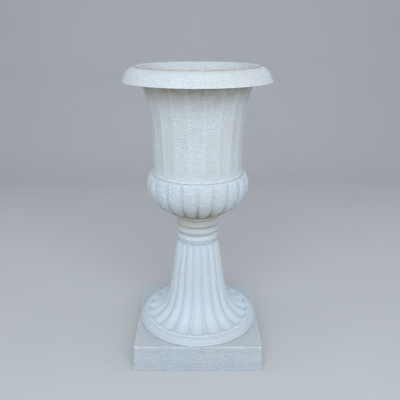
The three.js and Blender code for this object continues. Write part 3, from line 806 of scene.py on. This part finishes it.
def stem_relief(first_row, profile, angles):
    """Concave flutes with arrises between them and a round scooped end at the foot."""
    radius, height = profile[:, :1], profile[:, 1:]
    travelled = along(profile)
    from_foot = travelled - travelled[first_row]
    to_top = travelled[np.argmax(height)] - travelled
    outside = (from_foot > 0) & (to_top > 0)
    share = share_across(profile, angles, STEM_FLUTES, math.pi / STEM_FLUTES, 1.1)
    width = round_end(from_foot, SCOOP_LENGTH) * round_end(to_top, TOP_SCOOP_LENGTH)
    width = np.maximum(width, 1e-3)
    inside_scoop = np.clip(1 - ((1 - share) / width) ** 2, 0, 1)
    full = STEM_FLUTE_DEPTH + (FLARE_FLUTE_DEPTH - STEM_FLUTE_DEPTH) * smooth(radius, 80, 130)
    depth = full * width * inside_scoop
    scoop_end = hump(from_foot, 3, 6) * inside_scoop
    # Painted shade: a dark line beside each arris, in the scoop ends and under the collar.
    crease = 1.4 * (1 - share) ** 6 * smooth(share, 0.01, 0.06) + 0.35 * scoop_end
    crease = crease + 0.3 * hump(to_top, 0, 4)
    # Painted highlights on the arrises and along the foot's crest.
    edge = 0.6 * (1 - share) ** 14 + 0.8 * hump(from_foot, -0.6, 1.4)
    # Painted shade and a painted highlight for the round foot.
    foot_shade, foot_highlight = foot_shade_and_highlight(radius, height, from_foot)
    crease = np.where(outside, crease, foot_shade)
    edge = np.where(outside | (np.abs(from_foot) < 4), edge, foot_highlight)
    inner = to_top < 0
    return np.where(outside, depth, 0), np.where(inner, 0, crease), np.where(inner, 0, edge)


def make_stem():
    profile, first_row = stem_profile()
    angles = fluted_angles(STEM_FLUTES, 16, math.pi / STEM_FLUTES)

    def relief(rows, columns):
        return stem_relief(first_row, rows, columns)

    stem = revolve("stem_shell", profile, angles, relief)
    bosses = posts(SCREWS, BOSS_RADIUS, STEM_BOTTOM, STEM_BOTTOM + STEM_BOSS_HEIGHT)
    combine(stem, bosses, "UNION")
    drill(stem, SCREWS, SCREW_HOLE, STEM_BOTTOM - 2, STEM_BOTTOM + PILOT_DEPTH)
    drill(stem, WEEPS, WEEP_RADIUS, SOCKET_FLOOR - STEM_WEB - 2, SOCKET_FLOOR + 2)
    return stem


# ---- Plinth ----
def square_loop(half, corner, per_side=44, per_corner=6):
    """Points round a square with rounded corners, counter-clockwise from the front left."""
    points = []
    straight = half - corner
    for turn in range(4):
        side = [(x, -half) for x in np.linspace(-straight, straight, per_side)]
        bend = np.linspace(-math.pi / 2, 0, per_corner + 2)[1:-1]
        side += [(straight + corner * math.cos(a), -straight + corner * math.sin(a)) for a in bend]
        quarter = turn * math.pi / 2
        cosine, sine = math.cos(quarter), math.sin(quarter)
        points += [(x * cosine - y * sine, x * sine + y * cosine) for x, y in side]
    return np.array(points)


def access_ring():
    """The ring round the hand hole, from the plinth's top round to its underside."""
    outer_radius = ACCESS_RADIUS + ACCESS_RING_WALL
    return eased([
        (ACCESS_RADIUS + 3, PLINTH_TOP, 0),
        (ACCESS_RADIUS, PLINTH_TOP, 1),
        (ACCESS_RADIUS, ACCESS_RING_BOTTOM, 1),
        (outer_radius, ACCESS_RING_BOTTOM, 1),
        (outer_radius, PLINTH_CEILING, 1.5),
        (outer_radius + 3, PLINTH_CEILING, 0),
    ], 6)


def plinth_rows():
    """(half side, circle radius, share of circle, height) for each loop of the plinth's surface."""
    slope = (PLINTH_HALF - PLINTH_TOP_HALF) / PLINTH_TOP
    inner_bottom = PLINTH_HALF - PLINTH_WALL
    inner_top = inner_bottom - slope * PLINTH_CEILING
    outside = eased([
        (inner_bottom, 0, 0),
        (PLINTH_HALF, 0, 0.8),
        (PLINTH_TOP_HALF, PLINTH_TOP, 3.2),
        (PLINTH_TOP_HALF - 12, PLINTH_TOP, 0),
    ], 5)
    inside = eased([
        (inner_top - 8, PLINTH_CEILING, 0),
        (inner_top, PLINTH_CEILING, 3),
        (inner_bottom, 0.2, 0.4),
        (inner_bottom + 0.4, 0, 0),
    ], 8)
    ring = access_ring()
    rows = [(half, 0, 0, z) for half, z in outside]
    rows += [(outside[-1, 0], ring[0, 0], t, PLINTH_TOP) for t in np.linspace(0, 1, 12)[1:-1]]
    rows += [(0, radius, 1, z) for radius, z in ring]
    rows += [(inside[0, 0], ring[-1, 0], 1 - t, PLINTH_CEILING) for t in np.linspace(0, 1, 8)[1:-1]]
    rows += [(half, 0, 0, z) for half, z in inside[:-1]]
    return rows


def plinth_shell():
    """The hollow block, its round hand hole and the ring round the hole."""
    reference = square_loop(PLINTH_HALF, PLINTH_CORNER)
    bearing = np.arctan2(reference[:, 1], reference[:, 0])
    circle = np.stack([np.cos(bearing), np.sin(bearing)], 1)
    vertices, edges = [], []
    for half, radius, share, height in plinth_rows():
        square = square_loop(half, PLINTH_CORNER) if half else reference * 0
        loop = square * (1 - share) + circle * radius * share
        vertices.append(np.column_stack([loop, np.full(len(loop), height)]))
        # Painted highlight along the plinth's top edge.
        top_edge_highlight = hump(height, PLINTH_TOP - 0.8, 1.6) * hump(half, PLINTH_TOP_HALF - 0.8, 2.2)
        edges.append(np.full(len(loop), top_edge_highlight * (share == 0)))
    faces = grid_faces(len(vertices), len(reference), True)
    return mesh_object("plinth_shell", np.concatenate(vertices), faces, None, np.concatenate(edges))


def gussets():
    """Four plates under the plinth's top, from the ring to the corners."""
    start = ACCESS_RADIUS + ACCESS_RING_WALL / 2
    end = PLINTH_HALF * math.sqrt(2) - PLINTH_WALL - PLINTH_CORNER
    plates = []
    for x, y, bearing in on_circle((start + end) / 2, math.pi / 4):
        outline = rectangle(end - start, GUSSET_WALL)
        plate = prism("gusset", outline, ACCESS_RING_BOTTOM, PLINTH_CEILING + 1)
        plates.append(placed(plate, x, y, bearing))
    return joined(plates)


def make_plinth():
    """The plinth, with screw bosses and the gussets cut away under each boss."""
    plinth = plinth_shell()
    combine(plinth, gussets(), "UNION")
    combine(plinth, posts(SCREWS, BOSS_RADIUS, BOSS_BOTTOM, PLINTH_CEILING + 1), "UNION")
    drill(plinth, SCREWS, BOSS_RADIUS + 1, ACCESS_RING_BOTTOM - 1, BOSS_BOTTOM)
    drill(plinth, SCREWS, SCREW_HOLE, BOSS_BOTTOM - 1, PLINTH_TOP + 1)
    return plinth


# ---- Hardware ----
def make_bolt():
    """A domed coach bolt with a rolled thread on its lower end."""
    shank = BOLT_RADIUS
    head = BOLT_HIGH[0]
    seat = BOLT_HIGH[2] - BOLT_HEAD_HEIGHT
    end = BOLT_LOW[2]
    thread_end = end + BOLT_THREAD_LENGTH
    body = eased([(0, end, 0), (shank, end, 1.2), (shank, thread_end, 0)], 0.3)
    neck = eased([
        (shank, thread_end, 0),
        (shank, seat, 0.5),
        (head, seat, 0.5),
        (head, seat + 1, 0),
    ], 4)
    dome = arc((0, seat + 1), (head, BOLT_HIGH[2] - seat - 1), 0, 90, 1.2)
    dome[-1, 0] = 0

    def thread(profile, angles):
        radius, height = profile[:, :1], profile[:, 1:]
        phase = (height / BOLT_PITCH - angles / (2 * math.pi)) % 1
        on_thread = (radius > shank - 0.1) & (radius < shank + 0.1)
        on_thread = on_thread & (height > end + 1.5) & (height < thread_end - 2)
        groove = 0.55 * np.abs(2 * phase - 1)
        return np.where(on_thread, groove, 0), np.where(on_thread, groove, 0), 0

    return revolve("clamp_bolt", chain(body, neck, dome), even_angles(40), thread)


def make_washer(name, node, bore):
    """A washer with rounded edges that fills its CAD node's box."""
    low, high = box_mm(node)
    centre = (low + high) / 2
    outer = high[0] - centre[0]
    ease = 0.3 * (high[2] - low[2])
    corners = [(bore, low[2]), (outer, low[2]), (outer, high[2]), (bore, high[2])]
    start = ((bore + outer) / 2, low[2], 0)
    profile = eased([start, *[(*corner, ease) for corner in corners[1:] + corners[:1]], start], 2)
    return placed(revolve(name, chain(profile), even_angles(48)), centre[0], centre[1])


def make_wing_nut():
    """A hub with a bore and two rounded wings."""
    top = NUT_HIGH[2]
    bottom = top - NUT_HEIGHT
    hub = revolve("thumb_nut", chain(eased([
        (8, bottom, 0),
        (8.4, bottom, 1),
        (NUT_RADIUS, top - 2, 1),
        (NUT_RADIUS, top, 0.6),
        (NUT_BORE, top, 0.6),
        (NUT_BORE, bottom, 0.6),
        (8, bottom, 0),
    ], 1.5)), even_angles(48))
    centre = (NUT_HIGH[0] - WING_ROUND, NUT_LOW[2] + WING_ROUND)
    tip = arc(centre, (WING_ROUND, WING_ROUND), 108, -126, 1.2)
    outline = [(5.9, top - 1.2), (12, top - 3), *tip, (5.9, top - 9)]
    for turn in (0, math.pi):
        wing = upright_plate("wing", outline[::-1], WING_THICKNESS, 0.7)
        combine(hub, placed(wing, turn=turn), "UNION")
    return hub


def make_screw(index):
    """A pan-head screw with a cross recess and a pointed, threaded shank."""
    low, high = box_mm(f"plinth_screw_{index}")
    x, y, _ = (low + high) / 2
    head = (high[0] - low[0]) / 2
    seat = low[2] + SCREW_HEAD_HEIGHT
    shank = SCREW_RADIUS
    cap = arc((0, seat), (head, seat - low[2]), -90, -4, 0.6)
    cap[0, 0] = 0
    body = eased([
        (*cap[-1], 0),
        (head, seat, 0.3),
        (shank, seat, 0.3),
        (shank, high[2] - 3, 0.3),
        (0, high[2], 0),
    ], 0.25)

    def thread(profile, angles):
        radius, height = profile[:, :1], profile[:, 1:]
        phase = (height / SCREW_PITCH - angles / (2 * math.pi)) % 1
        on_thread = (radius < shank + 0.1) & (height > seat + 4) & (height < high[2] - 0.6)
        depth = 0.7 * smooth(np.abs(2 * phase - 1), 0.35, 0.9) * np.minimum(radius / shank, 1)
        return np.where(on_thread, depth, 0), 0, 0

    screw = revolve(f"pan_screw_{index}", chain(cap, body), even_angles(32), thread)
    for outline in (rectangle(DRIVE_WIDTH, 1), rectangle(1, DRIVE_WIDTH)):
        combine(screw, prism("cross", outline, low[2] - 1, low[2] + DRIVE_DEPTH), "DIFFERENCE")
    return placed(screw, x, y)


def make_plug():
    """A soft push-in plug: a ribbed shank, a flange and a half-round finger grip."""
    bottom = PLUG_LOW[2]
    flange = PLUG_HIGH[0]
    shank = DRAIN_RADIUS - 0.5
    seat = CUP_BOTTOM + CUP_WALL + GAP
    body = chain(eased([
        (0, bottom, 0),
        (shank - 2, bottom, 1),
        (shank, bottom + 4, 1),
        (shank, seat, 0.3),
        (flange, seat, 0.8),
        (flange, seat + 2, 0.8),
        (flange - 1.5, seat + PLUG_FLANGE_HEIGHT, 0.8),
        (0, seat + PLUG_FLANGE_HEIGHT, 0),
    ], 0.8))

    def ribs(profile, _):
        radius, height = profile[:, :1], profile[:, 1:]
        on_shank = (radius > shank - 0.2) & (height > bottom + 5) & (height < seat - 0.8)
        return np.where(on_shank, 0.35 * (1 - np.cos(height * math.pi)), 0), 0, 0

    plug = revolve("bung", body, even_angles(56), ribs)
    centre = PLUG_HIGH[2] - GRIP_RADIUS
    around = np.linspace(-0.12 * math.pi, 1.12 * math.pi, 30)
    outline = [(GRIP_RADIUS * math.cos(a), centre + GRIP_RADIUS * math.sin(a)) for a in around]
    return combine(plug, upright_plate("grip", outline, GRIP_THICKNESS, 0.8), "UNION")


# ---- Materials ----
class Nodes:
    """A short way to write one material's node tree."""

    def __init__(self, name):
        self.material = bpy.data.materials.new(name)
        self.material.use_nodes = True
        self.tree = self.material.node_tree
        self.shader = self.tree.nodes["Principled BSDF"]
        self.place = self.new("ShaderNodeTexCoord").outputs["Object"]

    def new(self, kind, inputs=None, **settings):
        """A node with its settings, and with a number or a link on each input given."""
        node = self.tree.nodes.new(kind)
        for key, value in settings.items():
            setattr(node, key, value)
        for key, value in (inputs or {}).items():
            self.fill(node.inputs[key], value)
        return node

    def fill(self, socket, value):
        if isinstance(value, bpy.types.NodeSocket):
            self.tree.links.new(value, socket)
        else:
            socket.default_value = value

    def shade(self, name, value):
        """Sets one input of the material's shader."""
        self.fill(self.shader.inputs[name], value)

    def noise(self, scale, detail=2.0, roughness=0.5, stretch=(1, 1, 1)):
        """Noise with `scale` cells to the metre, from 0 to 1."""
        mapping = self.new("ShaderNodeMapping", {"Vector": self.place, "Scale": stretch})
        inputs = {"Scale": scale, "Detail": detail, "Roughness": roughness}
        inputs["Vector"] = mapping.outputs["Vector"]
        return self.new("ShaderNodeTexNoise", inputs).outputs["Fac"]

    def cells(self, scale):
        """Smooth dimples, `scale` to the metre: low in the middle of each, high between them."""
        inputs = {"Vector": self.place, "Scale": scale, "Smoothness": 0.5, "Randomness": 0.7}
        return self.new("ShaderNodeTexVoronoi", inputs, feature="SMOOTH_F1").outputs["Distance"]

    def attribute(self, name):
        return self.new("ShaderNodeAttribute", attribute_name=name).outputs["Fac"]

    def math(self, operation, a, b=0.0):
        return self.new("ShaderNodeMath", {0: a, 1: b}, operation=operation).outputs["Value"]

    def ranged(self, value, low, high, out_low, out_high):
        limits = {"From Min": low, "From Max": high, "To Min": out_low, "To Max": out_high}
        return self.new("ShaderNodeMapRange", {"Value": value, **limits}).outputs["Result"]

    def mix(self, factor, a, b):
        inputs = {"Factor": factor, "A": a, "B": b}
        return self.new("ShaderNodeMix", inputs, data_type="RGBA").outputs["Result"]

    def bump(self, height, distance_mm, strength=1.0, under=None):
        inputs = {"Height": height, "Distance": distance_mm * MM, "Strength": strength}
        if under is not None:
            inputs["Normal"] = under
        return self.new("ShaderNodeBump", inputs).outputs["Normal"]

    def radius(self):
        """Distance from the urn's axis, in metres."""
        flat = self.new("ShaderNodeVectorMath", {0: self.place, 1: (1, 1, 0)}, operation="MULTIPLY")
        length = self.new("ShaderNodeVectorMath", {0: flat.outputs["Vector"]}, operation="LENGTH")
        return length.outputs["Value"]


def tone(red, green, blue):
    """A linear RGBA colour from 0-255 sRGB numbers."""
    channels = []
    for value in (red, green, blue):
        value /= 255
        channels.append(value / 12.92 if value <= 0.04045 else ((value + 0.055) / 1.055) ** 2.4)
    return (*channels, 1.0)


IVORY = tone(216, 224, 230)
CHALK = tone(211, 223, 234)
GREY = tone(199, 210, 222)
# Colour of the painted highlights.
BRIGHT = tone(230, 236, 243)
WARM = tone(208, 211, 210)
# Warm beige for real stains and for painted shade.
WARM_STAIN_AND_SHADE = tone(162, 141, 100)
# Cool grey-blue for painted shade.
SHADE = tone(146, 156, 172)


def ring_of_dirt(n, radius):
    """Patchy dirt within 5 mm of a circle about the urn's axis."""
    distance = n.math("ABSOLUTE", n.math("SUBTRACT", n.radius(), radius * MM))
    near = n.ranged(distance, 0, 0.005, 0.3, 0)
    return n.math("MULTIPLY", near, n.ranged(n.noise(30, 3), 0.35, 0.65, 0, 1))


def plastic(name, paint, grain_mm, grain_depth_mm, shade_and_stain=0.6, ring_stain=None, shade_and_dirt_tone=WARM_STAIN_AND_SHADE):
    """Moulded matte plastic: a dimpled grain, faint mottling, dirt and painted shade from the crease
    attribute, painted highlights from the edge attribute.
    """
    n = Nodes(name)
    mottle = n.ranged(n.noise(9, 4, 0.6), 0.35, 0.7, 0, 0.7)
    colour = n.mix(mottle, paint, WARM)
    speckle = n.noise(1000 / grain_mm, 3, 0.6)
    # The crease attribute carries dirt and painted shade, darkened towards the tone the caller gives.
    shade_and_dirt = n.math("MULTIPLY", n.attribute("crease"), n.ranged(n.noise(45, 4, 0.7), 0.3, 0.72, 0.5, 1.1))
    if ring_stain is not None:
        shade_and_dirt = n.math("ADD", shade_and_dirt, ring_of_dirt(n, ring_stain))
    pits = n.ranged(speckle, 0.30, 0.55, 0.12, 0)
    shade_and_dirt = n.math("ADD", n.math("MULTIPLY", shade_and_dirt, shade_and_stain), pits)
    shade_and_dirt = n.math("MINIMUM", shade_and_dirt, 0.85)
    colour = n.mix(shade_and_dirt, colour, shade_and_dirt_tone)
    # Painted highlights wherever the edge attribute is set.
    colour = n.mix(n.math("MULTIPLY", n.attribute("edge"), 0.6), colour, BRIGHT)
    n.shade("Base Color", colour)
    n.shade("Roughness", n.ranged(speckle, 0.3, 0.7, 0.58, 0.44))
    n.shade("Specular IOR Level", 0.4)
    waves = n.bump(n.noise(28, 2), 0.5, 0.5)
    dimples = n.bump(n.cells(1000 / grain_mm), grain_depth_mm, 1.0, waves)
    n.shade("Normal", n.bump(speckle, grain_depth_mm, 0.3, dimples))
    return n.material


def zinc():
    """Bright zinc plating with fine scratches and dull patches."""
    n = Nodes("zinc_plate")
    patches = n.noise(120, 5, 0.65)
    scratches = n.noise(500, 3, 0.6, (1, 1, 0.08))
    colour = n.mix(n.ranged(patches, 0.35, 0.7, 0, 1), tone(196, 199, 204), tone(150, 152, 150))
    n.shade("Base Color", colour)
    n.shade("Metallic", 1.0)
    n.shade("Roughness", n.ranged(patches, 0.3, 0.7, 0.28, 0.5))
    n.shade("Normal", n.bump(scratches, 0.04, 0.5))
    return n.material


def rubber():
    """Dusty black rubber with a fine moulded grain."""
    n = Nodes("black_rubber")
    dust = n.ranged(n.noise(160, 5, 0.7), 0.45, 0.8, 0, 0.45)
    n.shade("Base Color", n.mix(dust, tone(34, 35, 38), tone(98, 95, 88)))
    n.shade("Roughness", n.ranged(n.noise(700, 2), 0.3, 0.7, 0.7, 0.9))
    n.shade("Normal", n.bump(n.noise(1600, 2), 0.06, 0.6))
    return n.material


# ---- Pieces on their bodies ----
def finish_piece(piece, node, material, body="base"):
    """Gives a piece its material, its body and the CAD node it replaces."""
    piece.data.materials.clear()
    piece.data.materials.append(material)
    piece.data.set_sharp_from_angle(angle=math.radians(42))
    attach(piece, body)
    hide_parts(node)


def build_urn():
    rough_grey = plastic("plinth_plastic", GREY, 4.2, 3.3, ring_stain=FOOT_RADIUS)
    # The stem's darkening is painted shade, in the cool SHADE tone.
    smooth_white = plastic("stem_plastic", CHALK, 3.5, 0.3, shade_and_dirt_tone=SHADE)
    finish_piece(make_plinth(), "plinth", rough_grey)
    finish_piece(make_stem(), "stem", smooth_white)
    ringed_white = plastic("collar_plastic", CHALK, 3.8, 2.2, shade_and_stain=0.8)
    finish_piece(make_collar(), "collar", ringed_white)
    finish_piece(make_bowl(), "bowl", plastic("bowl_plastic", CHALK, 3.8, 2.9))
    finish_piece(make_cup(), "cup", plastic("cup_plastic", IVORY, 3.7, 2.7), body="cup")


def build_hardware():
    steel = zinc()
    black = rubber()
    finish_piece(make_bolt(), "tie_bolt", steel)
    finish_piece(make_washer("head_washer", "bolt_washer", BOLT_HOLE), "bolt_washer", steel)
    finish_piece(make_washer("head_seal", "bolt_seal", BOLT_HOLE), "bolt_seal", black)
    finish_piece(make_washer("wide_washer", "nut_washer", BOLT_HOLE), "nut_washer", steel)
    finish_piece(make_wing_nut(), "wing_nut", steel, body="wing_nut")
    finish_piece(make_plug(), "drain_plug", black, body="drain_plug")
    for i in SCREW_NUMBERS:
        finish_piece(make_screw(i), f"plinth_screw_{i}", steel)
        washer = make_washer(f"small_washer_{i}", f"screw_washer_{i}", SCREW_HOLE)
        finish_piece(washer, f"screw_washer_{i}", steel)


# ---- Studio ----
# Lens and sensor in millimetres, places in metres.
CAMERA_LENS = 42.97
CAMERA_SENSOR = 36
CAMERA_PLACE = (0.0063, -1.2618, HEIGHT * MM + 0.0819)
CAMERA_TILT = math.radians(70.5)
LIGHT_COLOUR = (0.91, 0.965, 1.0)
WORLD_COLOUR = (0.80, 0.86, 0.95, 1)
WORLD_STRENGTH = 0.3


def make_backdrop():
    """A pale floor that sweeps up into a wall behind the urn."""
    width, front, back = 6.0, -4.0, 1.6
    sweep, top = 0.8, 3.0
    path = [(front, 0.0)]
    for a in np.linspace(-math.pi / 2, 0, 16):
        path.append((back + sweep * math.cos(a), sweep + sweep * math.sin(a)))
    path.append((back + sweep, top))
    vertices = [(x / MM, y / MM, z / MM) for y, z in path for x in (-width / 2, width / 2)]
    faces = [[2 * i, 2 * i + 1, 2 * i + 3, 2 * i + 2] for i in range(len(path) - 1)]
    floor = mesh_object("floor", vertices, faces)
    n = Nodes("studio_paper")
    colour = n.mix(n.noise(3, 3), tone(200, 201, 202), tone(206, 207, 208))
    n.shade("Base Color", colour)
    n.shade("Roughness", 0.9)
    floor.data.materials.append(n.material)


def make_light(name, place, aim, size, power):
    """A soft, slightly cool rectangular light."""
    data = bpy.data.lights.new(name, "AREA")
    data.shape = "RECTANGLE"
    data.size, data.size_y = size
    data.energy = power
    data.color = LIGHT_COLOUR
    light = bpy.data.objects.new(name, data)
    bpy.context.scene.collection.objects.link(light)
    light.location = place
    direction = np.array(aim) - np.array(place)
    flat = math.hypot(direction[0], direction[1])
    tilt = math.atan2(flat, -direction[2])
    light.rotation_euler = (tilt, 0, math.atan2(-direction[0], direction[1]))


def make_studio():
    make_backdrop()
    world = bpy.data.worlds.new("studio")
    world.use_nodes = True
    background = world.node_tree.nodes["Background"]
    background.inputs["Color"].default_value = WORLD_COLOUR
    background.inputs["Strength"].default_value = WORLD_STRENGTH
    bpy.context.scene.world = world
    bpy.context.scene.view_settings.view_transform = "Standard"
    make_light("key", (0.1, -2.3, 1.9), (0, 0, 0.5), (3.2, 2.0), 60)
    make_light("top", (0, -0.5, 1.5), (0, 0, 0.78), (0.9, 0.7), 1.4)
    make_light("back", (0, 1.5, 1.7), (0, 0, 0.5), (2.6, 1.4), 6)
    for side in (-1, 1):
        make_light("side", (side * 2.3, -0.2, 1.3), (0, 0, 0.5), (1.8, 1.8), 12)


def make_camera():
    """The viewing angle: from in front and a little above the rim."""
    data = bpy.data.cameras.new("camera")
    data.lens = CAMERA_LENS
    data.sensor_width = CAMERA_SENSOR
    camera = bpy.data.objects.new("camera", data)
    bpy.context.scene.collection.objects.link(camera)
    camera.location = CAMERA_PLACE
    camera.rotation_euler = (CAMERA_TILT, 0, 0)
    bpy.context.scene.camera = camera


build_urn()
build_hardware()
make_camera()
make_studio()
